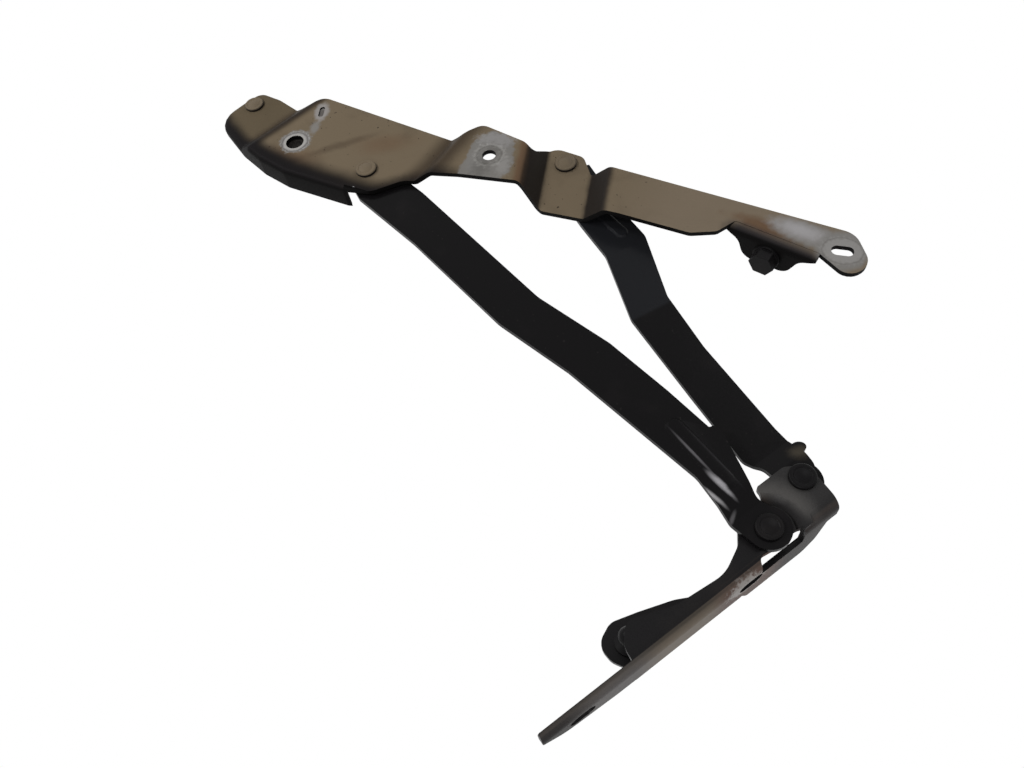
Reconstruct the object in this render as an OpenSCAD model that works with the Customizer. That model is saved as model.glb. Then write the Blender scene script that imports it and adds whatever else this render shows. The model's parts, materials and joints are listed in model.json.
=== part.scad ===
// Four-bar trunk lid hinge: a body bracket, two stamped links and a long lid bracket.
// Hinge plane is XZ. The side that faces the viewer is -Y, and +Z is up off the body.
// Part outlines are written around pivot A, and place() moves them to the mounting frame.

/* [Sheet] */
// Sheet thickness of the body bracket
body_t = 3; // [2.5:0.1:3.5]
// Sheet thickness of the lid bracket
lid_t = 3; // [2.5:0.1:3.5]
// Sheet thickness of both links
link_t = 3; // [2.5:0.1:3.5]
// Inside radius of the lid bracket's and the links' folds
fold_r = 3; // [2:0.5:4]
// Inside radius of the body bracket's folds
foot_fold_r = 4; // [3:0.5:4.5]

/* [Pivots] */
// Pivot B, long link on the body bracket, from pivot A along X
b_x = -30; // [-32:0.5:-28]
// Pivot B height from pivot A
b_z = -9; // [-10:0.5:-8]
// Pivot C, short link on the lid bracket, from pivot A along X
c_x = 40.7; // [40:0.1:42]
// Pivot C height from pivot A
c_z = 242.6; // [241:0.1:244]
// Pivot D, long link on the lid bracket, from pivot A along X
d_x = -61; // [-62:0.1:-60]
// Pivot D height from pivot A
d_z = 318.5; // [317:0.1:320]
// Radius of a rivet shank
shank_r = 4; // [3.5:0.1:4.5]
// Radius of a rivet head
head_r = 6.8; // [6.2:0.1:7.2]
// Height of a rivet head
head_h = 2.2; // [1.8:0.1:2.4]
// Radial running clearance of a rivet in its bush
running = 0.05; // [0.03:0.01:0.09]
// Gap between faces that turn on each other
face_gap = 0.1; // [0.05:0.05:0.2]
// Flange thickness of a pivot bush
bush_flange = 0.8; // [0.6:0.1:1]
// Wall thickness of a pivot bush
bush_wall = 1; // [0.8:0.1:1.2]
// Thickness of a retaining washer
washer_t = 1; // [0.8:0.1:1.2]
// Radial play of the long link on rivet D
d_play = 3.7; // [3.6:0.1:4]

/* [Body bracket] */
// Height of pivot A above the mounting face
pivot_h = 21; // [20:0.5:24]
// Depth of the foot from the front of the bracket
foot_depth = 35; // [33:0.5:38]
// Depth of the step between the pivot A plate and the rest of the web
web_step = 4.4; // [4.2:0.1:4.8]
// Radius of the round recess at pivot B
recess_r = 13; // [12.6:0.1:13.4]
// Distance between the two foot slots
slot_pitch = 100; // [96:1:104]
// Width of a foot slot
foot_slot_w = 8.6; // [8.4:0.1:9]
// Length of a foot slot
foot_slot_l = 14; // [12:0.5:16]

/* [Links] */
// How far the middle of the short link stands behind its ends
short_set = 5.9; // [5.8:0.1:6.4]
// Height of the stiffening bead on the long link
bead_h = 2; // [1.6:0.1:2.4]
// Half width of the stiffening bead at its foot
bead_w = 5; // [4.5:0.1:5.5]
// Radius of the short link's end at pivot A
short_end_r = 11; // [10.5:0.1:11.5]
// Radius of the short link's end at pivot C
short_top_r = 13; // [12.6:0.1:13.4]
// Radius of the long link's end at pivot B
long_end_r = 11; // [10.5:0.1:11.5]
// Radius of the long link's end at pivot D
long_top_r = 13; // [12.6:0.1:13.4]

/* [Lid bracket] */
// Front face of the end pad behind the pivot C pad
lid_end_y = 3; // [2:0.5:4]
// Rise of the main pad in front of the pivot C pad
lid_main_rise = 6.5; // [6:0.5:7]
// Rise of the nut pad in front of the pivot C pad
lid_nut_rise = 15; // [14:0.5:16]
// Rise of the long tongue in front of the pivot C pad
lid_tongue_rise = 12; // [11:0.5:13]
// How far the edge flange reaches behind the pivot C pad
lid_flange_y = 9; // [8:0.5:10]
// Radius of the large locating hole
hole_r = 6; // [5.5:0.1:6.2]
// Radius of the hole in the middle pad
pad_hole_r = 4.3; // [4.2:0.1:4.5]
// Depth of the pressed mark in the main pad
mark_w = 3.6;
mark_l = 9.5;
mark_depth = 1.2; // [0.8:0.1:1.5]
// Thread core radius of the weld nut behind the large hole
core_r = 4.25; // [4.2:0.05:4.3]
// Height of the weld nut
weld_nut_h = 8; // [7:0.5:9]
// Width of the slot at the tongue's end
end_slot_w = 6.6; // [6.4:0.1:7]
// Length of the slot at the tongue's end
end_slot_l = 12; // [11:0.5:14]
// Radius of both gas spring balls
ball_r = 5; // [4.8:0.1:5.2]
// Distance of a gas spring ball's centre from its sheet
ball_reach = 12; // [11:0.5:13]
// Width across the flats of the stop bolt's hexagon
hex_af = 13; // [12:0.5:13]

/* [Hidden] */
$fn = 48;
arc_steps = 6;
slot_y = 16;
far = 400;
// Clearance of a pressed or bolted piece in its own hole
seat = 0.02;
link_y = body_t + bush_flange + face_gap;
short_top_y = lid_t + bush_flange + face_gap;
long_low_y = web_step - link_t - bush_flange - face_gap;
long_top_y = -lid_main_rise + lid_t + bush_flange + face_gap;
bush_r = shank_r + running + bush_wall;
// Body bracket ball lug
lug_x = -111;
lug_z = -5;
// Lid bracket features
// Large hole from pivot D, and the ball stud from that hole
hole_side = 24;
hole_rise = 55.5;
ball_side = 2.5;
ball_rise = 65;
hole_x = d_x - hole_side;
hole_z = d_z + hole_rise;
ball_x = hole_x - ball_side;
ball_z = hole_z + ball_rise;
pad_x = 1.6;
pad_z = 268;
tip_x = 107;
tip_z = 80;
tab_x = 83;
tab_z = 110;
tab_turn = -69.6;
tab_half = 27;
tab_y = 9;
bolt_y = 1;
bolt_r = 4;
bolt_flange_r = 8;
weld_nut_af = 17;
bolt_flange_h = 1.6;
bolt_head_h = 8;
bolt_out = 8;
washer_r = 8.5;
wide_washer_r = 12.5;
ink = [0.13, 0.13, 0.14];
taupe = [0.42, 0.38, 0.31];
zinc = [0.62, 0.62, 0.6];

// Moves hinge coordinates to the mounting frame
module place() translate([slot_pitch, -slot_y, pivot_h]) children();

// Extrudes an XZ outline from y0 back to y1
module slab(y0, y1) translate([0, y1, 0]) rotate([90, 0, 0]) linear_extrude(y1 - y0) children();

// A round bar or hole along Y
module rod(x, z, r, y0, y1) translate([x, y1, z]) rotate([90, 0, 0]) cylinder(r = r, h = y1 - y0);

function unit(v) = v / norm(v);
function side(a, b) = let(u = unit(b - a)) [-u[1], u[0]];
function xy(p) = [p[0], p[1]];

// Points of one corner, rounded with its own radius
function corner(a, p, b, r) =
    let(u = unit(a - p), v = unit(b - p), half = acos(max(-1, min(1, u * v))) / 2,
        reach = r / tan(half), c = p + unit(u + v) * r / sin(half),
        s = p + u * reach - c, e = p + v * reach - c)
    r < 0.01 ? [p] : [for (i = [0 : arc_steps]) let(k = i / arc_steps, m = s * (1 - k) + e * k)
                      c + unit(m) * r];

// Closed outline from corners given as [x, z, radius]
function outline(c) = let(n = len(c)) [for (i = [0 : n - 1])
    each corner(xy(c[(i + n - 1) % n]), xy(c[i]), xy(c[(i + 1) % n]), c[i][2])];

// The same corners drawn in by d, for a clockwise list
function inset(c, d) = let(n = len(c)) [for (i = [0 : n - 1])
    let(p = xy(c[i]), m = -side(xy(c[(i + n - 1) % n]), p), q = -side(p, xy(c[(i + 1) % n])),
        o = (m + q) * d / (1 + m * q), turn = m[0] * q[1] - m[1] * q[0])
    [p[0] + o[0], p[1] + o[1], max(0.5, c[i][2] + (turn < 0 ? -d : d))]];

// Middle line of a folded strip with its folds rounded, from corners [s, y]
function folded(path, r) = let(n = len(path)) [path[0],
    for (i = [1 : n - 2]) each corner(path[i - 1], path[i], path[i + 1], r), path[n - 1]];

// Outline of a strip of thickness t along a line of points
function strip(p, t) = let(n = len(p), o = [for (i = [0 : n - 1])
    let(m = i > 0 ? side(p[i - 1], p[i]) : side(p[0], p[1]),
        q = i < n - 1 ? side(p[i], p[i + 1]) : side(p[n - 2], p[n - 1]))
    (m + q) * t / 2 / (1 + m * q)])
    concat([for (i = [0 : n - 1]) p[i] + o[i]], [for (i = [n - 1 : -1 : 0]) p[i] - o[i]]);

// Sheet folded along the path [s, y], crossing the XZ point at an angle to X, folds along that angle
module fold(x, z, turn, path, t) translate([x, 0, z]) rotate([0, -turn, 0])
    translate([-far / 2, 0, 0]) rotate([90, 0, 90]) linear_extrude(far) polygon(
        strip(folded([for (p = path) [p[1], p[0]]], fold_r + t / 2), t));

// Body bracket
web_edge = [[3.5, -30, 0], [6.8, 3, 5], [-3, 9.5, 6], [-21, 9.5, 2], [-22, 3, 3], [-38, 3, 8], [-46, -6, 8],
            [-60, -12.5, 20], [-88, -10, 30], [-110, -1.5, 7], [-118, -10, 9], [-121, -30, 0]];
wall_edge = [[-54, -30, 0], [-55, -15, 5], [-80, -2, 20], [-98, 4, 15], [-112, 8, 8], [-123.5, 3, 8],
             [-123, -7, 8], [-119, -14, 3], [-120, -30, 0]];
// Foot in plan, stopping short where the rear wall folds up
foot_edge = [[4.5, -5, 0], [4.5, 3, 4], [-2, 12, 8], [-6, 28, 8], [-13, foot_depth, 6],
             [-50, foot_depth, 3], [-54, foot_depth - body_t - foot_fold_r, 0],
             [-120, foot_depth - body_t - foot_fold_r, 0], [-130, 27.5, 12], [-160, 22, 20], [-172, 12, 3],
             [-171, web_step, 3], [-118, web_step, 0], [-118, -5, 0]];

// Angle section of web and foot with the web's front at y0
module angle_section(y0) rotate([90, 0, 90]) linear_extrude(far, center = true)
    polygon(strip(folded([[y0 + body_t / 2, 40], [y0 + body_t / 2, body_t / 2 - pivot_h],
                          [foot_depth + 10, body_t / 2 - pivot_h]], foot_fold_r + body_t / 2), body_t));

module web_and_foot(y0) intersection() {
    angle_section(y0);
    union() {
        slab(-1, 12) polygon(outline(web_edge));
        translate([0, 0, -pivot_h - 1]) linear_extrude(body_t + 2) polygon(outline(foot_edge));
    }
}

module rear_wall() intersection() {
    rotate([90, 0, 90]) linear_extrude(far, center = true)
        polygon(strip(folded([[10, body_t / 2 - pivot_h], [foot_depth - body_t / 2, body_t / 2 - pivot_h],
                              [foot_depth - body_t / 2, 40]], foot_fold_r + body_t / 2), body_t));
    slab(foot_depth - body_t - foot_fold_r - 1, foot_depth + 1) polygon(outline(wall_edge));
}

module foot_slots() for (x = [-slot_pitch * 1.5, -slot_pitch / 2]) {
    for (s = [-1, 1]) translate([x + s * (foot_slot_l - foot_slot_w) / 2, slot_y, -pivot_h - 1])
        cylinder(d = foot_slot_w, h = body_t + 2);
    translate([x - (foot_slot_l - foot_slot_w) / 2, slot_y - foot_slot_w / 2, -pivot_h - 1])
        cube([foot_slot_l - foot_slot_w, foot_slot_w, body_t + 2]);
}

// Cone about pivot B, of radius r at the depth y1 and widening forward at 45 degrees
module cone_b(r, y1, y0) translate([b_x, y1, b_z]) rotate([90, 0, 0]) cylinder(r1 = r, r2 = r + y1 - y0, h = y1 - y0);

module body_plate() color(ink) place() difference() {
    union() {
        intersection() {
            web_and_foot(web_step);
            translate([-far, -1, -far / 2]) cube([far + b_x, far, far]);
        }
        intersection() {
            union() {
                web_and_foot(0);
                intersection() {
                    cone_b(recess_r, web_step + body_t, 0);
                    slab(-1, 12) polygon(outline(web_edge));
                    translate([-far / 2, -far / 2, body_t / 2 - pivot_h]) cube(far);
                }
            }
            translate([b_x, -1, -far / 2]) cube([far, far, far]);
        }
        rear_wall();
    }
    cone_b(recess_r, web_step, -2);
    // Relief opening where the two web levels meet the foot
    slab(-1, 14) polygon(outline([[b_x - 14, -pivot_h - 1, 0], [b_x - 12, -16, 3], [b_x - 4, b_z - 8, 4],
        [b_x + 6, b_z - 8, 4], [b_x + 14, -16, 3], [b_x + 12, -pivot_h - 1, 0]]));
    foot_slots();
    rod(0, 0, shank_r + seat, -1, body_t + 1);
    rod(b_x, b_z, shank_r + seat, -1, web_step + body_t + 1);
    rod(lug_x, lug_z, shank_r + seat, foot_depth - body_t - 1, foot_depth + 1);
}

// Rivet with a flat round head at y0 and a formed tail at y1
module rivet(x, z, y0, y1, tail_h) place() translate([x, y0, z]) rotate([-90, 0, 0]) rotate_extrude()
    polygon([[0, -head_h], [head_r - 0.6, -head_h], [head_r, 0.6 - head_h], [head_r, 0], [shank_r, 0],
             [shank_r, y1 - y0], [shank_r + 2.2, y1 - y0], [shank_r + 2.2, y1 - y0 + tail_h - 0.8],
             [shank_r + 1.2, y1 - y0 + tail_h], [0, y1 - y0 + tail_h]]);

module ring(x, z, r_in, r_out, y0, y1) place() translate([x, y1, z]) rotate([90, 0, 0])
    linear_extrude(y1 - y0) difference() { circle(r_out); circle(r_in); }

// Flanged bush pressed into a link, flange at y0 and sleeve on to y1
module bush(x, z, y0, y1, flange_first) place() translate([x, flange_first ? y0 : y1, z])
    rotate([flange_first ? -90 : 90, 0, 0]) difference() {
        union() {
            cylinder(r = bush_r - seat, h = y1 - y0);
            cylinder(r = head_r + 0.7, h = bush_flange);
        }
        translate([0, 0, -1]) cylinder(r = shank_r + running, h = y1 - y0 + 2);
    }

// Short link, front at link_y at both ends and short_set further back between them
short_edge = [[11, -2, 8], [13, 12, 3], [13.5, 30, 20], [19.5, 90, 40], [27, 129, 15], [43, 168, 15],
              [45, 190, 20], [54, 236, 0], [28, 249, 0], [19.5, 200, 20], [16, 172, 15], [1, 130, 15],
              [-6.5, 72, 40], [-12, 26, 8], [-7.8, 16.5, 8], [-9.5, 2, 6], [-9, -3, 6]];
// The bends of the short link, as heights along it
low_bend = 9;
mid_bend = 21;
high_bend_a = 129;
high_bend_b = 168;
// The ear beside pivot A, and the bead below pivot C
ear_x = 13.5;
ear_z = 14.5;
ear_r = 3.6;
top_bead_x = 34;

module short_plate() color(ink) place() difference() {
    union() {
        intersection() {
            union() {
                slab(-5, 30) polygon(outline(short_edge));
                rod(0, 0, short_end_r, -5, 30);
                rod(c_x, c_z, short_top_r, -5, 30);
                rod(ear_x, ear_z, ear_r, -5, 30);
            }
            fold(0, 0, 0, [[-30, link_y + link_t / 2], [low_bend, link_y + link_t / 2],
                           [mid_bend, link_y + short_set + link_t / 2],
                           [high_bend_a, link_y + short_set + link_t / 2],
                           [high_bend_b, short_top_y + link_t / 2], [far, short_top_y + link_t / 2]], link_t);
        }
        bead(top_bead_x, 179, 197, 4, 1, short_top_y + 0.01);
    }
    rod(0, 0, bush_r, link_y - 1, link_y + link_t + 1);
    rod(c_x, c_z, bush_r, short_top_y - 1, short_top_y + link_t + 1);
}

// Straight raised bead with sloped sides and round ends, standing in front of y0
module bead(x, z0, z1, w, h, y0) {
    for (z = [z0, z1]) translate([x, y0, z]) rotate([90, 0, 0]) cylinder(r1 = w, r2 = w - h, h = h);
    translate([x, y0, z0]) linear_extrude(z1 - z0) polygon([[-w, 0], [h - w, -h], [w - h, -h], [w, 0]]);
}

// Long link
long_edge = [[b_x - long_end_r, b_z - 1, 0], [-43, 3, 12], [-40, 30, 20], [-46, 76, 60], [-51.5, 118, 20],
             [-62.5, 168, 30], [-68.5, 250, 60], [d_x - long_top_r - 2, d_z - 14, 5], [d_x - long_top_r, d_z, 0],
             [d_x + long_top_r, d_z, 0], [d_x + 18.5, d_z - 38, 30], [-35, 168, 30], [-23.5, 118, 20],
             [-19, 76, 30], [-17, 47, 0.8], [-13.8, 46, 2], [-14.5, 38, 10], [-20.5, 18, 10], [-24.5, 5, 8],
             [b_x + long_end_r, b_z + 1, 0], [b_x, b_z, 0]];
// Start and end of the long link's step above pivot B, and the bead's two ends
step_low = 12;
step_high = 22;
bead_low = 20;
bead_top = 58;

module long_plate() color(ink) place() difference() {
    union() {
        intersection() {
            union() {
                slab(-12, 12) polygon(outline(long_edge));
                rod(b_x, b_z, long_end_r, -12, 12);
                rod(d_x, d_z, long_top_r, -12, 12);
            }
            fold(b_x, b_z, 0, [[-40, long_low_y + link_t / 2], [step_low, long_low_y + link_t / 2],
                               [step_high, long_top_y + link_t / 2], [far, long_top_y + link_t / 2]], link_t);
        }
        bead(b_x, bead_low, bead_top, bead_w, bead_h, long_top_y);
    }
    bead(b_x, bead_low, bead_top, bead_w - 1.4, bead_h, long_top_y + link_t + 0.01);
    rod(b_x, b_z, bush_r, long_low_y - 1, long_low_y + link_t + 1);
    rod(d_x, d_z, shank_r + d_play, long_top_y - 1, long_top_y + link_t + 1);
}

// Lid bracket: four joggled zones under one outline
lid_edge = [[ball_x - 27.5, ball_z + 8, 16], [ball_x + 9.5, ball_z + 8, 7], [ball_x + 16.5, ball_z - 8, 12],
            [ball_x + 22.5, ball_z - 34, 9], [ball_x + 39.5, ball_z - 41, 10], [-2, 296, 8], [14, 293, 7],
            [27, 257, 4], [44, 259, 9], [53, 240, 7], [46, 223, 5], [52, 215, 5], [121, 84, 12], [111, 63, 10],
            [96, 66, 8], [96.5, 87, 3], [79, 133, 2], [66, 134, 5], [54, 143, 8], [33, 181, 15], [20, 201, 8],
            [6, 221, 6], [3, 238, 8], [-22, 268, 20], [d_x + 13, d_z - 24, 14], [d_x - 7, d_z - 18.5, 10],
            [d_x - 20.5, d_z - 3.5, 4], [hole_x - 19, hole_z - 18, 12], [hole_x - 26, hole_z + 4, 12],
            [ball_x - 27.5, ball_z - 35, 20]];
big = 600;
// How far neighbouring zones run into each other on the flats
overlap = 1.5;
main_y = -lid_main_rise;
nut_y = -lid_nut_rise;
tongue_y = -lid_tongue_rise;
// Each joggle as [x, z, fold line's angle, half width, front face on its upper side, on its lower side]
joggles = [[ball_x + 4.5, ball_z - 36, 7.1, 7, lid_end_y, main_y], [-22, 291, 20.4, 5, main_y, nut_y],
           [15.5, 243.5, 45.7, 6.5, nut_y, 0], [38.5, 207, 44.3, 6.5, 0, tongue_y]];
// Lines that divide the flats between the joggles, as [x, z, angle]
cuts = [[d_x + 1, d_z + 26.5, 0], [-3, 268, 35], [25, 226, 46]];

// Everything below (s = -1) or above (s = 1) a cut, and an overlap beyond it
module half(i, s) translate([cuts[i][0], 0, cuts[i][1]]) rotate([0, -cuts[i][2], 0])
    translate([-big, -big / 2, s > 0 ? -overlap : overlap - big]) cube([2 * big, big, big]);

function joggle_path(j, t) = [[-far / 2, j[5] + t / 2], [-j[3], j[5] + t / 2], [j[3], j[4] + t / 2],
                              [far / 2, j[4] + t / 2]];

module lid_sheet() for (i = [0 : 3]) intersection() {
    slab(-30, 30) polygon(outline(lid_edge));
    fold(joggles[i][0], joggles[i][1], joggles[i][2], joggle_path(joggles[i], lid_t), lid_t);
    if (i > 0) half(i - 1, -1);
    if (i < 3) half(i, 1);
}

// Flange round the end pad and along the main pad's lower edge
module lid_flange() intersection() {
    slab(-30, lid_flange_y) difference() {
        polygon(outline(lid_edge));
        polygon(outline(inset(lid_edge, lid_t)));
    }
    slab(-30, lid_flange_y) polygon([[d_x - 20, d_z - 10], [ball_x - 42.5, d_z + 21.5],
        [ball_x - 42.5, ball_z + 31], [ball_x - 7.5, ball_z + 31], [ball_x - 7.5, d_z + 31.5], [d_x - 14, d_z + 6]]);
    let(j = joggles[0], p = folded([for (q = joggle_path(j, 0)) [q[1], q[0]]], fold_r + lid_t))
        translate([j[0], 0, j[1]]) rotate([0, -j[2], 0]) translate([-far / 2, 0, 0]) rotate([90, 0, 90])
            linear_extrude(far) polygon(concat(p, [[30, far / 2], [30, -far / 2]]));
}

// Tab that carries the stop bolt, folded back from the tongue's lower edge
module lid_tab() translate([tab_x, 0, tab_z]) rotate([0, -tab_turn, 0]) difference() {
    intersection() {
        rotate([90, 0, 90]) linear_extrude(far, center = true)
            polygon(strip(folded([[tab_y, lid_t / 2], [tongue_y + lid_t / 2, lid_t / 2],
                                  [tongue_y + lid_t / 2, 12]], fold_r + lid_t / 2), lid_t));
        translate([0, 0, -2]) linear_extrude(20) polygon(outline([[-tab_half, tongue_y - 2, 0],
            [-tab_half, tongue_y + 4, 0], [-18, -3, 9], [-14, tab_y, 8], [12, tab_y, 8], [18, -4, 9],
            [tab_half, tongue_y + 4, 0], [tab_half, tongue_y - 2, 0]]));
    }
    translate([0, bolt_y, -1]) cylinder(r = bolt_r + 0.2, h = lid_t + 2);
}

module slot_cut(x, z, turn, w, l, y0, y1) translate([x, 0, z]) rotate([0, -turn, 0]) {
    for (s = [-1, 1]) rod(s * (l - w) / 2, 0, w / 2, y0, y1);
    translate([(w - l) / 2, y0, -w / 2]) cube([l - w, y1 - y0, w]);
}

module lid_plate() color(taupe) place() difference() {
    union() {
        lid_sheet();
        lid_flange();
        lid_tab();
    }
    rod(c_x, c_z, shank_r + seat, -1, lid_t + 1);
    rod(d_x, d_z, shank_r + seat, main_y - 1, main_y + lid_t + 1);
    rod(ball_x, ball_z, shank_r + seat, lid_end_y - 1, lid_end_y + lid_t + 1);
    rod(hole_x, hole_z, hole_r, main_y - 1, main_y + lid_t + 1);
    rod(pad_x, pad_z, pad_hole_r, nut_y - 1, nut_y + lid_t + 1);
    slot_cut(hole_x + 28, hole_z + 13.5, 50, mark_w, mark_l, main_y - 1, main_y + mark_depth);
    slot_cut(tip_x, tip_z, -50, end_slot_w, end_slot_l, tongue_y - 1, tongue_y + lid_t + 1);
}

// Ball stud: flat head in front, collar against the sheet and ball behind it
module ball_stud(x, z, y0, t, back) place() translate([x, y0, z]) rotate([back ? -90 : 90, 0, 0])
    rotate_extrude() polygon(concat([[0, -2], [head_r - 0.6, -2], [head_r - 0.2, -1.4], [head_r - 0.2, 0],
        [shank_r, 0], [shank_r, t], [head_r, t], [head_r, t + 2.5], [3, t + 3.5]],
        [for (a = [-50 : 14 : 90]) [max(0, ball_r * cos(a)), t + ball_reach + ball_r * sin(a)]]));

module hex(af, h) cylinder(d = af / cos(30), h = h, $fn = 6);

module tab_frame() place() translate([tab_x, bolt_y, tab_z]) rotate([0, -tab_turn, 0]) children();

module bolt() color(ink) tab_frame() mirror([0, 0, 1]) {
    cylinder(r = bolt_flange_r, h = bolt_flange_h);
    hex(hex_af, bolt_head_h);
    translate([0, 0, -lid_t - bolt_out]) cylinder(r = bolt_r, h = lid_t + bolt_out + 0.5);
}

body_plate();  // body_bracket
color(ink) rivet(0, 0, 0, link_y + link_t + face_gap + washer_t, 2);  // pivot_rivet_a
color(ink) rivet(b_x, b_z, long_low_y - face_gap, web_step + body_t, 2);  // pivot_rivet_b
color(zinc) ball_stud(lug_x, lug_z, foot_depth, body_t, false);  // body_ball_stud
short_plate();  // short_link
color(zinc) bush(0, 0, body_t + face_gap, link_y + link_t, true);  // short_bush_a
color(zinc) bush(c_x, c_z, lid_t + face_gap, short_top_y + link_t, true);  // short_bush_c
long_plate();  // long_link
color(zinc) bush(b_x, b_z, long_low_y, web_step - face_gap, false);  // long_bush_b
lid_plate();  // lid_bracket
color(ink) rivet(c_x, c_z, 0, short_top_y + link_t + face_gap + washer_t, 2);  // pivot_rivet_c
color(ink) rivet(d_x, d_z, main_y, long_top_y + link_t + face_gap + washer_t, 2);  // pivot_rivet_d
color(zinc)  // washer_a
    ring(0, 0, shank_r + seat, washer_r, link_y + link_t + face_gap, link_y + link_t + face_gap + washer_t);
color(zinc)  // washer_c
    ring(c_x, c_z, shank_r + seat, washer_r, short_top_y + link_t + face_gap, short_top_y + link_t + face_gap + washer_t);
color(zinc)  // washer_d
    ring(d_x, d_z, shank_r + seat, wide_washer_r, long_top_y + link_t + face_gap, long_top_y + link_t + face_gap + washer_t);
color(zinc)  // spacer_d
    ring(d_x, d_z, shank_r + seat, wide_washer_r, main_y + lid_t, main_y + lid_t + bush_flange);
color(zinc) ball_stud(ball_x, ball_z, lid_end_y, lid_t, true);  // lid_ball_stud
bolt();  // stop_bolt
color(zinc) tab_frame() translate([0, 0, lid_t]) difference() {  // stop_nut
    hex(13, 6.5);
    translate([0, 0, -1]) cylinder(r = bolt_r + seat, h = 9);
}
color(zinc) place() translate([hole_x, main_y + lid_t, hole_z])  // lid_weld_nut
    rotate([-90, 0, 0]) difference() {
        hex(weld_nut_af, weld_nut_h);
        translate([0, 0, -1]) cylinder(r = core_r, h = weld_nut_h + 2);
    }
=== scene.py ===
"""Looks of a trunk lid hinge: worn satin coats on stamped brackets and links, rivets, washers and studs, with
painted highlights and shade in some coats.
"""

import json
import logging
import math
from dataclasses import dataclass, replace
from enum import Enum
from typing import Callable

import bpy
from mathutils import Matrix, Vector

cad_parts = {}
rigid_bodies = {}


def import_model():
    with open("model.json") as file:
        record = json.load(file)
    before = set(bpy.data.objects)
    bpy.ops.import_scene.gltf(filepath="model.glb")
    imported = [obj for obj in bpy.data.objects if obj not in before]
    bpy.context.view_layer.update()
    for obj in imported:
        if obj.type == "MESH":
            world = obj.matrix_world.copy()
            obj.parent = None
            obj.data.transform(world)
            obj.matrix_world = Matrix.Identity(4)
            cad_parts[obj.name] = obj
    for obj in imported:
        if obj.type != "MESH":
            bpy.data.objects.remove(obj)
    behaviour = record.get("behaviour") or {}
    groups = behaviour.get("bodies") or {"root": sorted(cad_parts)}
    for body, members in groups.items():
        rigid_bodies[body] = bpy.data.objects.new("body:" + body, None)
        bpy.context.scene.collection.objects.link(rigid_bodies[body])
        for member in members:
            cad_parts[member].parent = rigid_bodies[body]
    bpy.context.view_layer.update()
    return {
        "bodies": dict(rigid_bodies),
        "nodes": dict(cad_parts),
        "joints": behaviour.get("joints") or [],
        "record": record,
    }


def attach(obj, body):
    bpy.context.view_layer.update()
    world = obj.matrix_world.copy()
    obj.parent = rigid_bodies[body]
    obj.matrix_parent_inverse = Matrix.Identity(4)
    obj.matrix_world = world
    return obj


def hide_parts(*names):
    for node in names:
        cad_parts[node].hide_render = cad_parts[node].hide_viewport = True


log = logging.getLogger("trunk_lid_hinge")
MM = 0.001

# Noise scales per metre: rubbed clouds, fine grain, sparse specks and the sides of a band
CLOUD_SCALE = 38.0
GRAIN_SCALE = 900.0
SPECK_SCALE = 420.0
BAND_SCALE = 70.0

# Distance under which the CAD mesh's points are joined, and turns in degrees between faces
WELD_GAP = 0.01 * MM
FLAT_TURN = 0.6
SMOOTH_TURN = 35
CREASE_TURN = 40

Point = tuple[float, float, float]
Colour = tuple[float, float, float]
Socket = bpy.types.NodeSocket


class Body(Enum):
    """Rigid bodies of the linkage."""

    BODY_BRACKET = "body_bracket"
    SHORT_LINK = "short_link"
    LONG_LINK = "long_link"
    LID_BRACKET = "lid_bracket"


class Slot(Enum):
    """Material slots of the record."""

    LID_COAT = "lid_coat"
    BLACK_COAT = "black_coat"
    ZINC_PLATE = "zinc_plate"


def srgb(red: int, green: int, blue: int) -> Colour:
    """Turn an 8-bit display colour into the linear one a shader takes.

    Args:
        red: Red from 0 to 255.
        green: Green from 0 to 255.
        blue: Blue from 0 to 255.

    Returns:
        The linear colour.
    """
    parts = [c / 255 for c in (red, green, blue)]
    return tuple(c / 12.92 if c < 0.04045 else ((c + 0.055) / 1.055) ** 2.4 for c in parts)


def deselect_all() -> None:
    """Leave object mode with nothing selected."""
    if bpy.context.object and bpy.context.object.mode != "OBJECT":
        bpy.ops.object.mode_set(mode="OBJECT")
    bpy.ops.object.select_all(action="DESELECT")


def pick(piece: bpy.types.Object) -> None:
    """Make one piece the only selected and active one."""
    deselect_all()
    piece.select_set(True)
    bpy.context.view_layer.objects.active = piece


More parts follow.
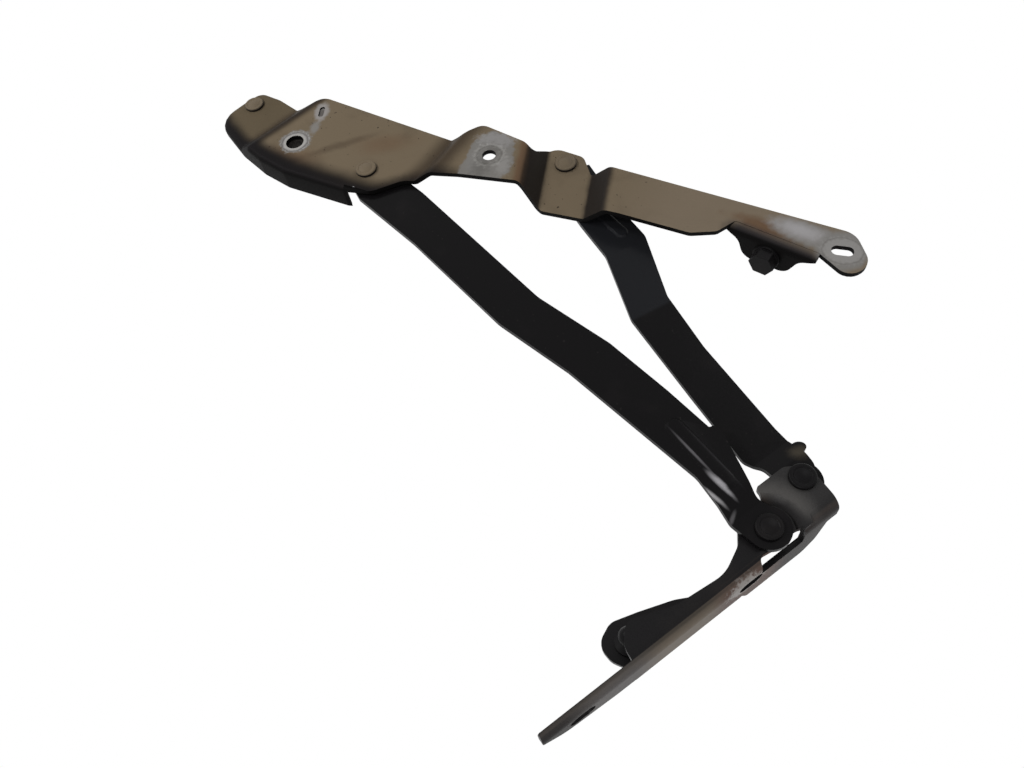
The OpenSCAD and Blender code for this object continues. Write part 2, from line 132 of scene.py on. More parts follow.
class Graph:
    """Node tree of one material, with short ways to add its nodes.

    Attributes:
        nodes: Nodes of the tree.
        links: Links of the tree.
        place: Object coordinates.
        normal: Normal in the piece's own coordinates.
    """

    def __init__(self, material: bpy.types.Material) -> None:
        """Start the graph of a material."""
        material.use_nodes = True
        self.nodes = material.node_tree.nodes
        self.links = material.node_tree.links
        coords = self.nodes.new("ShaderNodeTexCoord")
        self.place: Socket = coords.outputs["Object"]
        self.normal: Socket = coords.outputs["Normal"]

    def feed(self, socket: Socket, value: Socket | float | Point) -> None:
        """Link a socket to another one, or set its constant."""
        if isinstance(value, bpy.types.NodeSocket):
            self.links.new(value, socket)
        else:
            socket.default_value = value

    def math(self, operation: str, *values: Socket | float) -> Socket:
        """Add a math node.

        Args:
            operation: Name of the operation.
            values: Sockets or numbers that it works on.

        Returns:
            The result.
        """
        node = self.nodes.new("ShaderNodeMath")
        node.operation = operation
        for socket, value in zip(node.inputs, values):
            self.feed(socket, value)
        return node.outputs["Value"]

    def noise(self, scale: float, detail: float) -> Socket:
        """Add a noise from 0 to 1 on the object coordinates."""
        node = self.nodes.new("ShaderNodeTexNoise")
        node.inputs["Scale"].default_value = scale
        node.inputs["Detail"].default_value = detail
        self.feed(node.inputs["Vector"], self.place)
        return node.outputs["Fac"]

    def along(self, vector: Socket, start: Point, direction: Point) -> Socket:
        """Measure a vector from a start point along a direction."""
        shift = self.nodes.new("ShaderNodeVectorMath")
        shift.operation = "SUBTRACT"
        self.feed(shift.inputs[0], vector)
        shift.inputs[1].default_value = start
        dot = self.nodes.new("ShaderNodeVectorMath")
        dot.operation = "DOT_PRODUCT"
        self.feed(dot.inputs[0], shift.outputs["Vector"])
        dot.inputs[1].default_value = direction
        return dot.outputs["Value"]

    def ramp(self, value: Socket, low: float, high: float, start: float = 0.0, end: float = 1.0) -> Socket:
        """Turn a value smoothly from start at low to end at high.

        Args:
            value: The value.
            low: Where the change begins.
            high: Where it ends.
            start: Result up to low.
            end: Result from high on.

        Returns:
            The result.
        """
        if low > high:
            low, high, start, end = high, low, end, start
        node = self.nodes.new("ShaderNodeMapRange")
        node.interpolation_type = "SMOOTHSTEP"
        self.feed(node.inputs["Value"], value)
        node.inputs["From Min"].default_value = low
        node.inputs["From Max"].default_value = high
        node.inputs["To Min"].default_value = start
        node.inputs["To Max"].default_value = end
        return node.outputs["Result"]

    def blend(self, share: Socket, first: Socket | Colour, second: Socket | Colour) -> Socket:
        """Blend two colours by a share."""
        node = self.nodes.new("ShaderNodeMix")
        node.data_type = "RGBA"
        self.feed(node.inputs[0], share)
        for socket, value in ((node.inputs[6], first), (node.inputs[7], second)):
            self.feed(socket, value if isinstance(value, bpy.types.NodeSocket) else (*value, 1))
        return node.outputs[2]


@dataclass(frozen=True)
class Mark:
    """A place on a coat with another tone. Lengths are in millimetres.

    Attributes:
        colour: Its colour.
        strength: How far the colour covers the coat, from 0 to 1.
        roughness: Its roughness, or None for the coat's own.
        only: Mark whose own share limits this one, or None.
    """

    colour: Colour
    strength: float = 1.0
    roughness: float | None = None
    only: "Mark | None" = None

    def mask(self, graph: Graph) -> Socket:
        """Add the nodes that give the share of the mark at each point."""
        raise NotImplementedError


@dataclass(frozen=True)
class Spot(Mark):
    """An oval patch with a ragged rim, seen along Y, or along Z on the foot.

    Attributes:
        x: Centre along X.
        z: Centre along Z, or along Y on the foot.
        wide: Half width along its turned first axis.
        high: Half width along its second axis.
        turn: Turn of the first axis from X towards Z, or Y, in degrees.
        soft: Share of the radius over which it fades.
        ragged: How far noise moves the rim, as a share of the radius.
        fine: Scale of that noise.
        hollow: Share of the radius that stays free inside.
        inner_fade: Half the share of the radius over which a hollow spot fades inwards.
        on_foot: Whether it lies in the XY plane.
    """

    x: float = 0.0
    z: float = 0.0
    wide: float = 5.0
    high: float = 5.0
    turn: float = 0.0
    soft: float = 0.3
    ragged: float = 0.3
    fine: float = 260.0
    hollow: float = 0.0
    inner_fade: float = 0.08
    on_foot: bool = False

    def _spread(self, across: float, up: float) -> Point:
        """Give a direction of the spot's plane."""
        return (across, up, 0) if self.on_foot else (across, 0, up)

    def mask(self, graph: Graph) -> Socket:
        """Add the nodes that give the share of the spot at each point."""
        turn = math.radians(self.turn)
        start = self._spread(self.x * MM, self.z * MM)
        cos, sin, wide, high = math.cos(turn), math.sin(turn), self.wide * MM, self.high * MM
        first = graph.along(graph.place, start, self._spread(cos / wide, sin / wide))
        second = graph.along(graph.place, start, self._spread(-sin / high, cos / high))
        squares = [graph.math("POWER", graph.math("ABSOLUTE", side), 2.0) for side in (first, second)]
        radius = graph.math("SQRT", graph.math("ADD", *squares))
        centred = graph.math("SUBTRACT", graph.noise(self.fine, 4.0), 0.5)
        radius = graph.math("ADD", radius, graph.math("MULTIPLY", centred, 2 * self.ragged))
        share = graph.ramp(radius, 1 - self.soft, 1 + self.soft / 2, 1, 0)
        if self.hollow:
            inner = graph.ramp(radius, self.hollow - self.inner_fade, self.hollow + self.inner_fade)
            share = graph.math("MULTIPLY", share, inner)
        return share


@dataclass(frozen=True)
class Band(Mark):
    """A soft band along a line in the XZ plane.

    Attributes:
        x: A point of the line along X.
        z: The point along Z.
        turn: Turn of the line from X towards Z in degrees.
        half: Half width of the full tone.
        fade: Width over which it fades.
        ragged: How far noise moves its sides.
    """

    x: float = 0.0
    z: float = 0.0
    turn: float = 0.0
    half: float = 4.0
    fade: float = 4.0
    ragged: float = 1.5

    def mask(self, graph: Graph) -> Socket:
        """Add the nodes that give the share of the band at each point."""
        turn = math.radians(self.turn)
        start, direction = (self.x * MM, 0, self.z * MM), (-math.sin(turn), 0, math.cos(turn))
        centred = graph.math("SUBTRACT", graph.noise(BAND_SCALE, 3.0), 0.5)
        shift = graph.math("MULTIPLY", centred, 2 * self.ragged * MM)
        across = graph.math("ABSOLUTE", graph.math("ADD", graph.along(graph.place, start, direction), shift))
        return graph.ramp(across, self.half * MM, (self.half + self.fade) * MM, 1, 0)


@dataclass(frozen=True)
class Facing(Mark):
    """The faces that look one way, or the other way when low is above high.

    Attributes:
        way: Direction.
        low: Cosine at which the tone starts.
        high: Cosine at which it is full.
        both: Whether the opposite way counts as well.
    """

    way: Point = (0, -1, 0)
    low: float = 0.3
    high: float = 0.8
    both: bool = False

    def mask(self, graph: Graph) -> Socket:
        """Add the nodes that give the share of the tone by the normal."""
        share = graph.along(graph.normal, (0, 0, 0), self.way)
        if self.both:
            share = graph.math("ABSOLUTE", share)
        return graph.ramp(share, self.low, self.high)


@dataclass(frozen=True)
class Ramp(Mark):
    """A tone that grows along a direction.

    Attributes:
        start: Point where it starts.
        way: Unit direction.
        length: Distance over which it becomes full.
    """

    start: Point = (0, 0, 0)
    way: Point = (0, 0, 1)
    length: float = 30.0

    def mask(self, graph: Graph) -> Socket:
        """Add the nodes that give the share of the tone along the direction."""
        start = tuple(c * MM for c in self.start)
        return graph.ramp(graph.along(graph.place, start, self.way), 0, self.length * MM)


@dataclass(frozen=True)
class Coat:
    """A paint or plating with soft mottling, fine grain, specks and marks.

    Attributes:
        name: Material name.
        colour: Main colour.
        worn: Colour of the rubbed patches.
        wear: Share of the surface that is rubbed, from 0 to 1.
        roughness: Middle roughness.
        metallic: 0 for paint and 1 for bare metal.
        gloss: Level of the clear shine.
        grain: Height of the fine grain in metres.
        specks: Colour of small specks, or None.
        marks: Tones at certain places, laid one over the other.
    """

    name: str
    colour: Colour
    worn: Colour
    wear: float = 0.3
    roughness: float = 0.45
    metallic: float = 0.0
    gloss: float = 0.3
    grain: float = 0.00002
    specks: Colour | None = None
    marks: tuple[Mark, ...] = ()

    def build(self) -> bpy.types.Material:
        """Make the material.

        Returns:
            A procedural material on object coordinates.
        """
        mat = bpy.data.materials.new(self.name)
        graph = Graph(mat)
        shader = graph.nodes["Principled BSDF"]
        shader.inputs["Metallic"].default_value = self.metallic
        shader.inputs["Specular IOR Level"].default_value = self.gloss
        cloud, grain = graph.noise(CLOUD_SCALE, 5.0), graph.noise(GRAIN_SCALE, 3.0)
        colour = graph.blend(graph.ramp(cloud, 0.62 - 0.3 * self.wear, 0.78), self.colour, self.worn)
        rough = graph.ramp(grain, 0.2, 0.8, self.roughness - 0.06, self.roughness + 0.08)
        if self.specks is not None:
            sparse = graph.ramp(graph.noise(SPECK_SCALE, 1.0), 0.735, 0.77)
            colour = graph.blend(sparse, colour, self.specks)
        for mark in self.marks:
            share = graph.math("MULTIPLY", mark.mask(graph), mark.strength)
            if mark.only is not None:
                share = graph.math("MULTIPLY", share, mark.only.mask(graph))
            colour = graph.blend(share, colour, mark.colour)
            if mark.roughness is not None:
                kept = graph.math("MULTIPLY", rough, graph.math("SUBTRACT", 1.0, share))
                rough = graph.math("ADD", kept, graph.math("MULTIPLY", share, mark.roughness))
        graph.feed(shader.inputs["Base Color"], colour)
        graph.feed(shader.inputs["Roughness"], rough)
        bump = graph.nodes.new("ShaderNodeBump")
        bump.inputs["Distance"].default_value = self.grain
        graph.feed(bump.inputs["Height"], grain)
        graph.feed(shader.inputs["Normal"], bump.outputs["Normal"])
        return mat


# Painted shade for the lid bracket's bends and for where its sheet rolls into the flange
BEND_SHADE = srgb(36, 32, 30)
ROLL_SHADE = srgb(21, 19, 20)
RUST_TINT = srgb(98, 76, 58)
BARE_GREY = srgb(124, 122, 119)
PALE_GREY = srgb(150, 148, 148)
EDGE_TURN = Facing(srgb(15, 14, 14), way=(0, 1, 0), low=0.93, high=0.45, both=True)

FRONT = Facing(srgb(0, 0, 0), way=(0, -1, 0), low=0.1, high=0.4)
LID_MARKS = (
    # Lighter, greyer paint towards the tongue and soft brown clouds
    Ramp(srgb(120, 108, 93), 0.75, start=(130, 0, 225), way=(0.44, 0, -0.9), length=60),
    Spot(RUST_TINT, 0.5, only=FRONT, x=5, z=384, wide=22, high=12, turn=-50, soft=0.8, fine=90),
    Spot(RUST_TINT, 0.45, only=FRONT, x=60, z=352, wide=20, high=9, turn=-35, soft=0.9, fine=90),
    Spot(srgb(70, 58, 47), 0.5, only=FRONT, x=34, z=372, wide=32, high=3.5, turn=-17, soft=0.9, ragged=0.6,
         fine=150),
    # Darker and browner from the upper joggle up over the end pad
    Ramp(srgb(84, 74, 58), 0.8, start=(17, 0, 424), way=(-0.12, 0, 0.99), length=14),
    # Painted shade along the joggles' bends, and a rust-tinted band beside one of them
    Band(srgb(43, 35, 27), 0.92, x=17, z=423, turn=7.1, half=5, fade=9, ragged=1),
    Band(BEND_SHADE, 0.6, x=17, z=417.5, turn=7.1, half=1, fade=5, ragged=1),
    Band(srgb(57, 48, 39), 0.85, x=78, z=312, turn=20.4, half=5, fade=13),
    Band(RUST_TINT, 0.85, x=113, z=269, turn=45.7, half=2, fade=4),
    Band(BEND_SHADE, 0.85, x=116.5, z=263, turn=45.7, half=3.5, fade=3.5),
    Band(BEND_SHADE, 0.95, x=138.5, z=228, turn=44.3, half=5, fade=4.5),
    # Painted shade: the front fades into black along the rolled and drawn edges, where the sheet turns away
    # into the flange
    Band(ROLL_SHADE, 0.96, x=8, z=356, turn=119, half=4, fade=14, ragged=1),
    Band(ROLL_SHADE, 0.96, x=-7, z=387, turn=108.8, half=4, fade=14, ragged=1),
    Band(ROLL_SHADE, 0.95, x=-13, z=412, turn=98, half=3, fade=11, ragged=1),
    Band(ROLL_SHADE, 0.95, x=-15, z=445, turn=90, half=3, fade=11, ragged=1),
    Spot(ROLL_SHADE, 0.95, x=-16, z=462, wide=9, high=12, turn=-40, soft=0.7, ragged=0.1),
    Spot(ROLL_SHADE, 0.9, x=24, z=327, wide=11, high=5, turn=-42, soft=0.8, ragged=0.1),
    Spot(ROLL_SHADE, 0.92, x=42, z=315, wide=22, high=9, turn=-15, soft=0.9, ragged=0.1),
    Spot(ROLL_SHADE, 0.92, x=65, z=299, wide=24, high=9, turn=-46, soft=0.9, ragged=0.1),
    # Painted highlight: a small glint on the corner at the flange's end
    Spot(srgb(176, 176, 178), 0.85, 0.35, x=24.4, z=331, wide=2, high=0.7, turn=70, soft=0.6, ragged=0.6,
         fine=900),
    # Bare zinc of the pressed mark, the large hole, the pad and the tongue's end
    Spot(BARE_GREY, 0.85, 0.5, only=FRONT, x=32, z=398, wide=7, high=3.5, turn=40, soft=0.6, ragged=0.5),
    Spot(PALE_GREY, 0.7, 0.5, only=FRONT, x=43, z=408.5, wide=9.5, high=5.4, turn=50, soft=0.35),
    Spot(srgb(74, 70, 66), 0.75, 0.6, only=FRONT, x=43, z=408.5, wide=4.6, high=1.5, turn=50, soft=0.5),
    Spot(BARE_GREY, 0.95, 0.5, only=FRONT, x=15.5, z=395, wide=11, high=10.5, soft=0.15, ragged=0.3,
         fine=420),
    Spot(PALE_GREY, 0.7, 0.5, only=FRONT, x=15.5, z=395, wide=9.5, high=9.5, soft=0.1, ragged=0.55,
         fine=800),
    Spot(srgb(82, 78, 74), 0.7, 0.5, only=FRONT, x=15, z=395, wide=9.3, high=9.3, soft=0.08, ragged=0.1,
         hollow=0.88),
    Spot(srgb(160, 158, 154), 0.85, 0.45, only=FRONT, x=15, z=395, wide=7.8, high=7.8, soft=0.1, ragged=0.08),
    Spot(srgb(118, 116, 113), 0.95, 0.5, only=FRONT, x=101, z=287, wide=23, high=15, turn=46, soft=0.1,
         ragged=0.22, fine=300),
    Spot(srgb(118, 116, 113), 0.9, 0.5, only=FRONT, x=89, z=290, wide=14, high=6, turn=24, soft=0.2,
         ragged=0.3, fine=300),
    Spot(PALE_GREY, 0.45, 0.5, only=FRONT, x=113, z=297, wide=13, high=7, turn=-40, soft=0.5, ragged=0.8,
         fine=500),
    Spot(srgb(90, 87, 84), 0.5, 0.5, only=FRONT, x=106, z=291, wide=8, high=4, turn=60, soft=0.8, ragged=0.9,
         fine=420),
    Spot(srgb(86, 84, 81), 0.5, 0.5, only=FRONT, x=92, z=284, wide=13, high=6, turn=35, soft=0.8, ragged=0.9,
         fine=420),
    Spot(srgb(146, 144, 141), 0.5, 0.5, only=FRONT, x=103, z=276, wide=9, high=5, turn=50, soft=0.8,
         ragged=0.9, fine=420),
    Spot(srgb(160, 158, 154), 0.7, 0.45, only=FRONT, x=101.6, z=289, wide=9.8, high=9.8, soft=0.4,
         ragged=0.5, fine=500, hollow=0.8),
    Spot(srgb(78, 76, 72), 0.5, 0.5, only=FRONT, x=101.6, z=289, wide=8.6, high=8.6, soft=0.12,
         ragged=0.06, hollow=0.84),
    Spot(RUST_TINT, 0.9, only=FRONT, x=190, z=137, wide=27, high=5.5, turn=-66, soft=0.6, ragged=0.4,
         fine=120),
    Spot(BARE_GREY, 0.9, 0.5, only=FRONT, x=203, z=118, wide=27, high=9, turn=-68, soft=0.35, ragged=0.3),
    Spot(srgb(168, 166, 168), 0.7, 0.5, only=FRONT, x=201, z=125, wide=17, high=6, turn=-66, soft=0.9,
         ragged=0.35, fine=300),
    Spot(BARE_GREY, 0.95, 0.5, only=FRONT, x=207, z=101, wide=16, high=14, soft=0.2, ragged=0.15),
    Spot(srgb(150, 148, 146), 0.6, 0.45, only=FRONT, x=207, z=101, wide=12, high=10, turn=-50, soft=0.3,
         ragged=0.4, fine=600),
    Spot(srgb(86, 83, 80), 0.5, 0.5, only=FRONT, x=207, z=101, wide=11.4, high=9.6, turn=-50, soft=0.06,
         ragged=0.06, hollow=0.93),
    # Painted shade on the tab of the stop bolt, growing past its fold
    Ramp(srgb(46, 44, 47), 0.95, start=(190.5, 0, 133.8), way=(-0.937, 0, -0.349), length=7,
         only=Spot(srgb(0, 0, 0), x=182, z=129, wide=29, high=14, turn=-69.6, soft=0.25, ragged=0.05)),
)

LID_COAT = Coat("lid_coat", srgb(108, 96, 79), srgb(95, 84, 69), wear=0.4, roughness=0.5, gloss=0.03,
                specks=srgb(60, 52, 44), marks=LID_MARKS + (EDGE_TURN,))
# Heads painted over in the lid's coat; faces that turn away from the front go near black as painted shade
# round each head
PAINTED_HEAD = Coat("painted_head", srgb(104, 92, 75), srgb(92, 82, 68), wear=0.5, roughness=0.5, gloss=0.12,
                    marks=(Facing(srgb(24, 21, 20), way=(0, -1, 0), low=0.9, high=0.3),))
UNDERSIDE = Facing(srgb(0, 0, 0), way=(0, 0, -1), low=0.35, high=0.98)
BODY_COAT = Coat("body_coat", srgb(23, 22, 23), srgb(31, 29, 29), wear=0.4, roughness=0.28, gloss=0.09,
                 grain=0.00001, marks=(
    Facing(srgb(118, 108, 96), 0.95, 0.5, way=(0, 0, -1), low=0.35, high=0.98),
    Ramp(srgb(92, 70, 64), 0.85, start=(22, 0, 0), way=(1, 0, 0), length=16, only=UNDERSIDE),
    Ramp(srgb(86, 84, 85), 0.85, start=(0, 0, 0), way=(-1, 0, 0), length=22, only=UNDERSIDE),
    Ramp(srgb(30, 28, 28), 0.9, start=(-38, 0, 0), way=(-1, 0, 0), length=24, only=UNDERSIDE),
    Ramp(srgb(30, 28, 28), 0.9, start=(60, 0, 0), way=(1, 0, 0), length=16, only=UNDERSIDE),
    Spot(srgb(176, 172, 168), 0.8, only=UNDERSIDE, x=47, z=-2, wide=12, high=8, turn=10, soft=0.3, ragged=0.8,
         fine=620, on_foot=True),
    # Painted sheen: a broad lighter patch on the plate that carries pivot A
    Spot(srgb(47, 46, 46), 0.85, x=98, z=22, wide=30, high=30, soft=0.8, ragged=0.15, fine=60),
    # Painted highlight on the wall of the recess round pivot B
    Ramp(srgb(84, 82, 80), 0.75, start=(76, 0, 16), way=(0.85, 0, 0.53), length=9,
         only=Spot(srgb(0, 0, 0), x=70, z=12, wide=25, high=25, soft=0.3, ragged=0.04, hollow=0.66)),
))
LINK_COAT = Coat("link_coat", srgb(15, 14, 15), srgb(22, 20, 21), wear=0.3, roughness=0.2, gloss=0.06,
                 grain=0.000005, specks=srgb(28, 26, 26))
LONG_LINK_COAT = replace(LINK_COAT, name="long_link_coat", marks=(
    # Painted highlights along the bead, on the drawn edge beside it and at the bead's neck, and a painted
    # shade line along the bead's right side
    Spot(srgb(178, 176, 180), 0.7, 0.15, only=FRONT, x=66.2, z=41, wide=9, high=1.3, turn=94, soft=0.8,
         ragged=0.15),
    Spot(srgb(190, 188, 190), 0.6, 0.15, only=FRONT, x=59.5, z=39, wide=8, high=1.2, turn=98, soft=0.8,
         ragged=0.15),
    Spot(srgb(112, 110, 113), 0.6, 0.15, only=FRONT, x=66.7, z=62, wide=15, high=0.6, turn=90, soft=0.8,
         ragged=0.1),
    Spot(srgb(48, 46, 49), 0.7, 0.15, only=FRONT, x=73.6, z=54, wide=18, high=0.8, turn=90, soft=0.8,
         ragged=0.1),
    Spot(srgb(120, 118, 120), 0.45, 0.15, only=FRONT, x=59.6, z=25.5, wide=4, high=1.1, turn=30, soft=0.8,
         ragged=0.15),
))
SHORT_LINK_COAT = replace(LINK_COAT, name="short_link_coat", marks=(
    # Painted sheen: the face above the fold is lighter
    Ramp(srgb(30, 31, 34), 0.85, start=(101.4, 0, 148), way=(0.14, 0, 0.99), length=3),
    Spot(srgb(70, 64, 54), 0.7, x=111, z=33, wide=5.5, high=4.5, turn=-40, soft=0.8),
))
BLACK_HEAD = Coat("black_head", srgb(18, 17, 18), srgb(28, 26, 26), wear=0.4, roughness=0.34, gloss=0.06)
# Zinc darkened as painted shade, for the weld nut that sits in the lid bracket's hole
SHADED_NUT_ZINC = Coat("shaded_nut_zinc", srgb(52, 49, 46), srgb(34, 31, 29), wear=0.5, roughness=0.5, metallic=0.7)
ZINC = Coat("zinc_plate", srgb(150, 148, 142), srgb(112, 108, 100), wear=0.5, roughness=0.38, metallic=1.0)


@dataclass
class Stamping:
    """A stamped piece: its CAD shell with rolled and broken edges.

    Attributes:
        node: CAD node that it stands for.
        body: Body that it rides on.
        slot: Material slot of the record; not used.
        coat: Its finish.
        rolled: Says by an edge's middle and the normals beside it whether it is rolled wide, or None.
        roll: Radius of the rolled edges in millimetres.
        edge: Radius of the other edges in millimetres.
    """

    node: str
    body: Body
    slot: Slot
    coat: Coat
    rolled: Callable[[Vector, Vector, Vector], bool] | None = None
    roll: float = 3.6
    edge: float = 0.45

    def build(self, frame: dict) -> bpy.types.Object:
        """Make the piece.


        Returns:
            The finished piece.
        """
        piece = self._copy_shell(frame["nodes"][self.node])
        self._shape(piece)
        self._break_edges(piece)
        piece.data.materials.clear()
        piece.data.materials.append(self.coat.build())
        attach(piece, self.body.value)
        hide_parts(self.node)
        log.info("built %s with %d faces", piece.name, len(piece.data.polygons))
        return piece

    def _copy_shell(self, node: bpy.types.Object) -> bpy.types.Object:
        """Copy the CAD mesh and join its loose triangles into plain faces."""
        piece = bpy.data.objects.new(self.node + "_sheet", node.data.copy())
        bpy.context.scene.collection.objects.link(piece)
        pick(piece)
        bpy.ops.object.mode_set(mode="EDIT")
        bpy.ops.mesh.select_all(action="SELECT")
        bpy.ops.mesh.remove_doubles(threshold=WELD_GAP)
        bpy.ops.mesh.dissolve_limited(angle_limit=math.radians(FLAT_TURN))
        bpy.ops.object.mode_set(mode="OBJECT")
        return piece

    def _roll_edges(self, piece: bpy.types.Object) -> None:
        """Round the edges that the press rolled over."""
        pick(piece)
        bpy.ops.object.mode_set(mode="EDIT")
        bpy.ops.mesh.select_mode(type="EDGE")
        bpy.ops.mesh.select_all(action="DESELECT")
        bpy.ops.object.mode_set(mode="OBJECT")
        mesh = piece.data
        ways: dict[tuple[int, int], list[Vector]] = {}
        for face in mesh.polygons:
            for key in face.edge_keys:
                ways.setdefault(key, []).append(face.normal)
        count = 0
        for edge in mesh.edges:
            start, end = (mesh.vertices[v].co for v in edge.vertices)
            front, side = sorted(ways[edge.key], key=lambda way: way.y)
            edge.select = self.rolled((start + end) / 2, front, side)
            count += edge.select
        bpy.ops.object.mode_set(mode="EDIT")
        bpy.ops.mesh.bevel(offset=self.roll * MM, segments=5, affect="EDGES", clamp_overlap=False)
        bpy.ops.object.mode_set(mode="OBJECT")
        log.info("rolled %d edges of %s", count, self.node)

    def _shape(self, piece: bpy.types.Object) -> None:
        """Shape the piece further before its edges are broken."""
        if self.rolled is not None:
            self._roll_edges(piece)

    def _break_edges(self, piece: bpy.types.Object) -> None:
        """Break the sheared edges and shade the piece."""
        pick(piece)
        bpy.ops.object.shade_smooth_by_angle(angle=math.radians(SMOOTH_TURN))
        bevel = piece.modifiers.new("broken edges", "BEVEL")
        bevel.width = self.edge * MM
        bevel.segments = 3
        bevel.limit_method = "ANGLE"
        bevel.angle_limit = math.radians(CREASE_TURN)
        bevel.harden_normals = True
        bpy.ops.object.modifier_apply(modifier=bevel.name)
        bpy.ops.object.shade_smooth_by_angle(angle=math.radians(CREASE_TURN))


@dataclass
class HeadedPin(Stamping):
    """A rivet or ball stud whose flat head carries the ring that its forming tool leaves.

    Attributes:
        ring: Distance of the ring from the head's rim in millimetres.
        groove: Width and depth of the ring in millimetres.
        dome: Height of the middle over the groove's floor in millimetres.
    """

    edge: float = 0.25
    ring: float = 1.5
    groove: float = 0.3
    dome: float = 0.25

    def _shape(self, piece: bpy.types.Object) -> None:
        """Press the ring into the head."""
        mesh = piece.data
        front = min(v.co.y for v in mesh.vertices)
        pick(piece)
        bpy.ops.object.mode_set(mode="EDIT")
        bpy.ops.mesh.select_mode(type="FACE")
        bpy.ops.mesh.select_all(action="DESELECT")
        bpy.ops.object.mode_set(mode="OBJECT")
        for face in mesh.polygons:
            face.select = face.normal.y < -0.99 and abs(face.center.y - front) < 0.01 * MM
        bpy.ops.object.mode_set(mode="EDIT")
        for thickness, depth in ((self.ring, 0), (self.groove, -self.groove), (self.groove, 0),
                                 (self.groove, self.dome)):
            bpy.ops.mesh.inset(thickness=thickness * MM, depth=depth * MM)
        bpy.ops.object.mode_set(mode="OBJECT")


# Area of the lid bracket along X and Z, in millimetres, whose outer edges fold back into the flange
FLANGE_AREA = ((19, 329.5), (-30, 361), (-30, 491), (5, 491), (5, 371), (25, 345.5))
# Limits of the normals beside such an edge: a front face, and a sheared face that doesn't look inwards
FRONT_FACE_Y = -0.6
SHEARED_FACE_Y = 0.3
OUTER_FACE_X = 0.2


def on_lid_flange(middle: Vector, front: Vector, side: Vector) -> bool:
    """Say whether an edge lies where the lid bracket's flange folds back.

    Args:
        middle: Middle of the edge.
        front: Normal of the face beside it that looks most to the front.
        side: Normal of the other face.

    Returns:
        True for the outer front edges of the flange.
    """
    if front.y > FRONT_FACE_Y or abs(side.y) > SHEARED_FACE_Y or side.x > OUTER_FACE_X:
        return False
    x, z, inside = middle.x / MM, middle.z / MM, False
    for (x0, z0), (x1, z1) in zip(FLANGE_AREA, FLANGE_AREA[1:] + FLANGE_AREA[:1]):
        if (z0 > z) != (z1 > z) and x < x0 + (z - z0) * (x1 - x0) / (z1 - z0):
            inside = not inside
    return inside


STAMPINGS = (
    Stamping("lid_bracket", Body.LID_BRACKET, Slot.LID_COAT, LID_COAT, rolled=on_lid_flange),
    Stamping("stop_bolt", Body.LID_BRACKET, Slot.BLACK_COAT, BLACK_HEAD, edge=0.9),
    Stamping("body_bracket", Body.BODY_BRACKET, Slot.BLACK_COAT, BODY_COAT, edge=0.5),
    Stamping("short_link", Body.SHORT_LINK, Slot.BLACK_COAT, SHORT_LINK_COAT, edge=0.5),
    Stamping("long_link", Body.LONG_LINK, Slot.BLACK_COAT, LONG_LINK_COAT, edge=0.7),
)
PINS = (
    HeadedPin("pivot_rivet_a", Body.BODY_BRACKET, Slot.BLACK_COAT, BLACK_HEAD),
    HeadedPin("pivot_rivet_b", Body.BODY_BRACKET, Slot.BLACK_COAT, BLACK_HEAD),
    HeadedPin("pivot_rivet_c", Body.LID_BRACKET, Slot.BLACK_COAT, PAINTED_HEAD, groove=0.15, dome=0.12),
    HeadedPin("pivot_rivet_d", Body.LID_BRACKET, Slot.BLACK_COAT, PAINTED_HEAD, groove=0.15, dome=0.12),
    HeadedPin("lid_ball_stud", Body.LID_BRACKET, Slot.ZINC_PLATE, PAINTED_HEAD, groove=0.15, dome=0.12),
)

# Finishes of the CAD nodes that stay in view and aren't plain zinc; the weld nut's zinc is darkened as
# painted shade
FINISH_OF = {"body_ball_stud": BLACK_HEAD, "lid_weld_nut": SHADED_NUT_ZINC}


@dataclass(frozen=True)
class Lamp:
    """A square soft lamp.

    Attributes:
        name: Lamp name.
        place: Its centre.
        size: Side length.
        power: Power in watts.
    """

    name: str
    place: Point
    size: float
    power: float


LAMPS = (
    Lamp("key", (-0.35, -0.75, 0.85), 0.2, 3.4),
    Lamp("glint", (-0.52, -0.8, 0.34), 0.11, 2.2),
    Lamp("fill", (0.9, -0.8, 0.3), 0.6, 1.6),
    Lamp("under", (-0.5, -0.5, -0.35), 0.4, 1.4),
)


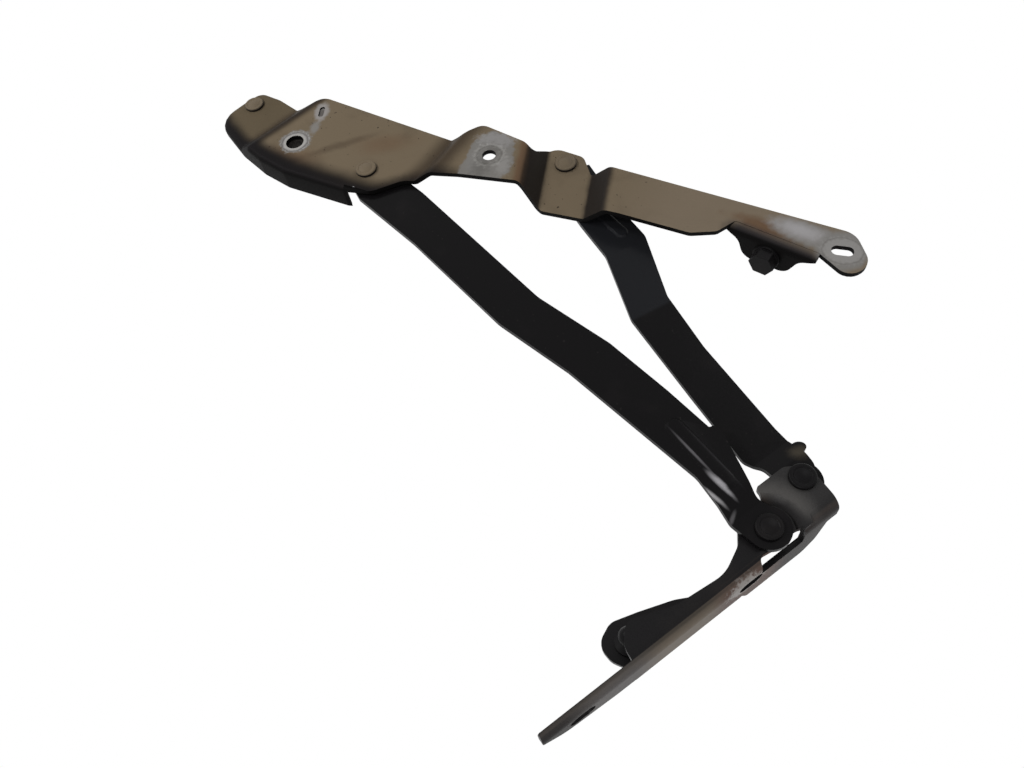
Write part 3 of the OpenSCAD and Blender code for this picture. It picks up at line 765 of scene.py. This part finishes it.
@dataclass
class Studio:
    """Camera at the photograph's angle, a pale floor and plain soft lamps.

    Attributes:
        eye: Camera place.
        right: Camera's right.
        up: Camera's up.
        lens: Focal length in millimetres.
        sensor: Width of the sensor in millimetres.
        aim: Point that the lamps face.
        sky: Strength of the even light.
        floor_z: Height of the floor.
        floor_side: Side length of the floor.
    """

    eye: Point = (-0.0797, -0.402, -0.0659)
    right: Point = (0.812, 0.113, -0.573)
    up: Point = (0.542, -0.519, 0.666)
    lens: float = 29.88
    sensor: float = 36
    aim: Point = (0.08, 0.0, 0.2)
    sky: float = 0.4
    floor_z: float = -0.42
    floor_side: float = 6

    def camera(self) -> None:
        """Set the camera."""
        right = Vector(self.right).normalized()
        up = Vector(self.up)
        up = (up - right * up.dot(right)).normalized()
        turn = Matrix((right, up, right.cross(up))).transposed().to_4x4()
        data = bpy.data.cameras.new("camera")
        data.lens = self.lens
        data.sensor_width = self.sensor
        data.clip_start = 0.01
        camera = bpy.data.objects.new("camera", data)
        camera.matrix_world = Matrix.Translation(Vector(self.eye)) @ turn
        bpy.context.scene.collection.objects.link(camera)
        bpy.context.scene.camera = camera

    def light(self, lamp: Lamp) -> None:
        """Set up one lamp so that it faces the hinge.

        Args:
            lamp: The lamp.
        """
        data = bpy.data.lights.new(lamp.name, "AREA")
        data.size = lamp.size
        data.energy = lamp.power
        shade = bpy.data.objects.new(lamp.name, data)
        shade.location = lamp.place
        shade.rotation_euler = (Vector(self.aim) - Vector(lamp.place)).to_track_quat("-Z", "Y").to_euler()
        bpy.context.scene.collection.objects.link(shade)

    def shown_ray(self, nodes: bpy.types.Nodes, links: bpy.types.NodeLinks) -> Socket:
        """Tell the rays of camera, gloss and glass from those that light the object."""
        path = nodes.new("ShaderNodeLightPath")
        share = path.outputs["Is Camera Ray"]
        for name in ("Is Glossy Ray", "Is Transmission Ray"):
            either = nodes.new("ShaderNodeMath")
            either.operation = "MAXIMUM"
            links.new(share, either.inputs[0])
            links.new(path.outputs[name], either.inputs[1])
            share = either.outputs["Value"]
        return share

    def world(self) -> None:
        """Light evenly, with a white background for the camera, gloss and glass."""
        world = bpy.data.worlds.new("studio")
        bpy.context.scene.world = world
        world.use_nodes = True
        nodes, links = world.node_tree.nodes, world.node_tree.links
        soft = nodes["Background"]
        soft.inputs["Color"].default_value = (1, 1, 1, 1)
        soft.inputs["Strength"].default_value = self.sky
        white = nodes.new("ShaderNodeBackground")
        white.inputs["Color"].default_value = (1, 1, 1, 1)
        mix = nodes.new("ShaderNodeMixShader")
        links.new(self.shown_ray(nodes, links), mix.inputs["Fac"])
        links.new(soft.outputs[0], mix.inputs[1])
        links.new(white.outputs[0], mix.inputs[2])
        links.new(mix.outputs[0], nodes["World Output"].inputs["Surface"])

    def floor(self) -> None:
        """Lay a pale floor that shows white to the camera."""
        deselect_all()
        bpy.ops.mesh.primitive_plane_add(size=self.floor_side, location=(0, 0, self.floor_z))
        floor = bpy.context.object
        floor.name = "floor"
        bpy.ops.object.transform_apply(location=True, rotation=True, scale=True)
        mat = bpy.data.materials.new("pale_floor")
        mat.use_nodes = True
        nodes, links = mat.node_tree.nodes, mat.node_tree.links
        pale = nodes["Principled BSDF"]
        pale.inputs["Base Color"].default_value = (0.8, 0.8, 0.8, 1)
        pale.inputs["Roughness"].default_value = 0.9
        white = nodes.new("ShaderNodeEmission")
        mix = nodes.new("ShaderNodeMixShader")
        links.new(self.shown_ray(nodes, links), mix.inputs["Fac"])
        links.new(pale.outputs[0], mix.inputs[1])
        links.new(white.outputs[0], mix.inputs[2])
        links.new(mix.outputs[0], nodes["Material Output"].inputs["Surface"])
        floor.data.materials.append(mat)

    def build(self) -> None:
        """Set up camera, floor, world and lamps."""
        self.camera()
        self.floor()
        self.world()
        for lamp in LAMPS:
            self.light(lamp)
        bpy.context.scene.view_settings.view_transform = "Standard"


def dress(frame: dict) -> None:
    """Give every CAD node that stays in view its finish.
    """
    made: dict[str, bpy.types.Material] = {}
    for name, node in frame["nodes"].items():
        coat = FINISH_OF.get(name, ZINC)
        if coat.name not in made:
            made[coat.name] = coat.build()
        node.data.materials.clear()
        node.data.materials.append(made[coat.name])
        log.info("dressed %s in %s", name, coat.name)


def main() -> None:
    """Build the studio, dress the CAD nodes, and build the stamped and the headed pieces."""
    logging.basicConfig(level=logging.INFO)
    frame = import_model()
    deselect_all()
    Studio().build()
    dress(frame)
    for piece in STAMPINGS + PINS:
        piece.build(frame)


if __name__ == "__main__":
    main()
